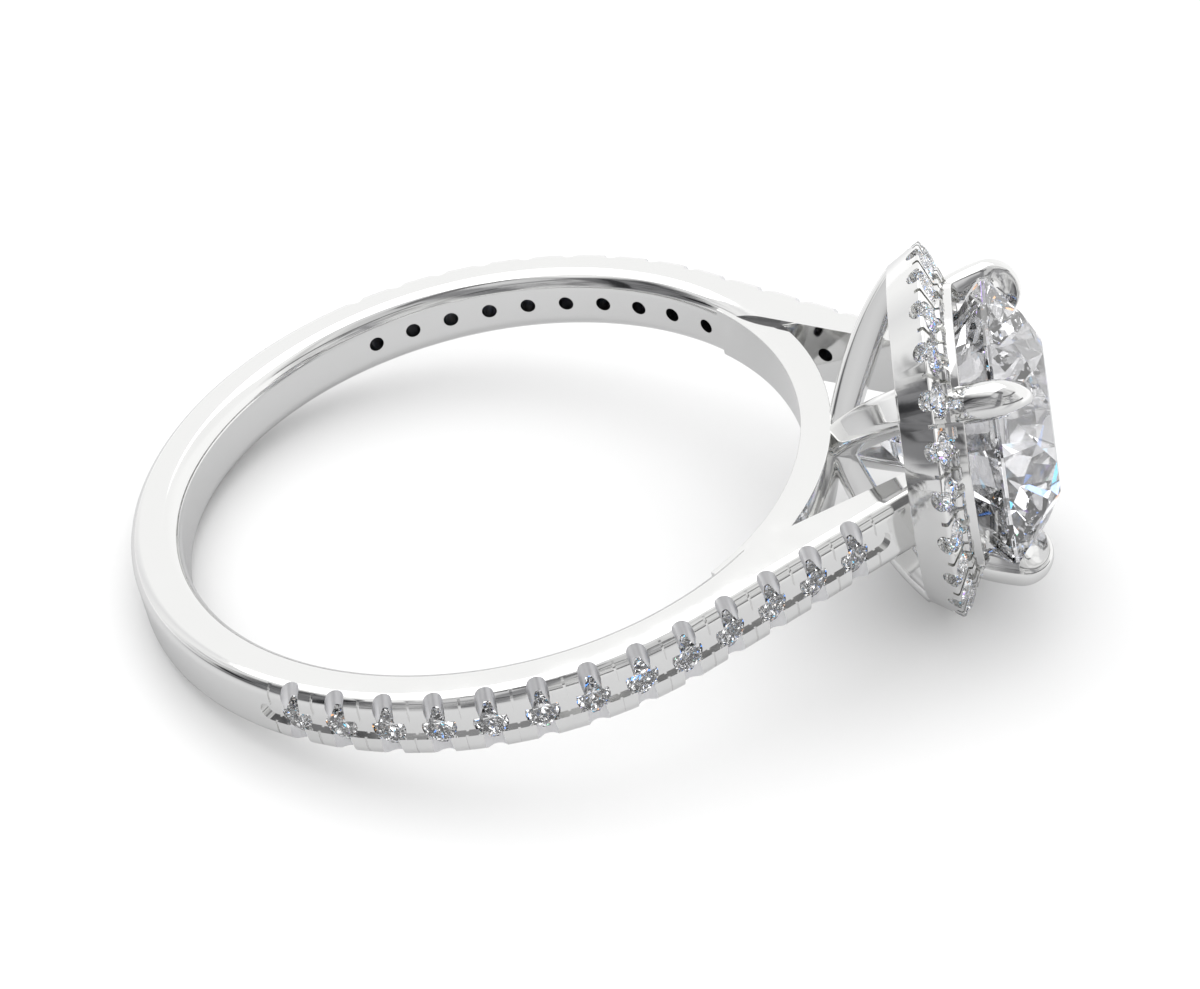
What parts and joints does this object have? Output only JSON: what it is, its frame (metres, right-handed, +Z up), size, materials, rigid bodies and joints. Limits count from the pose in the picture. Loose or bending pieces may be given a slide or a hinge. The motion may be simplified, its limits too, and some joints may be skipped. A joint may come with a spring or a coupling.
{
  "type": "halo ring",
  "caption": "Finger ring: a large round stone in four claws, a halo of small stones round it, and a row of small stones set into each arm of a slim band.",
  "frame": {"origin": "on the surface that the ring lies on, under the middle of its outline", "axes": "+X towards the large stone, +Z upward out of the side that the ring lies on; the finger hole's axis leans 10.7 degrees from +Z towards -X"},
  "size_m": [0.0242, 0.0192, 0.0096],
  "materials": {
    "white_gold": "mirror polished white gold with a thin rhodium plating",
    "diamond": "colourless faceted stone with polished facets"
  },
  "bodies": {
    "root": {"mounting": "white_gold", "centre_stone": "diamond", "halo_stones": "diamond", "near_stone_1": "diamond", "near_stone_2": "diamond", "near_stone_3": "diamond", "near_stone_4": "diamond", "near_stone_5": "diamond", "near_stone_6": "diamond", "near_stone_7": "diamond", "near_stone_8": "diamond", "near_stone_9": "diamond", "near_stone_10": "diamond", "near_stone_11": "diamond", "near_stone_12": "diamond", "near_stone_13": "diamond", "far_stone_1": "diamond", "far_stone_2": "diamond", "far_stone_3": "diamond", "far_stone_4": "diamond", "far_stone_5": "diamond", "far_stone_6": "diamond", "far_stone_7": "diamond", "far_stone_8": "diamond", "far_stone_9": "diamond", "far_stone_10": "diamond", "far_stone_11": "diamond", "far_stone_12": "diamond", "far_stone_13": "diamond"}
  },
  "joints": []
}
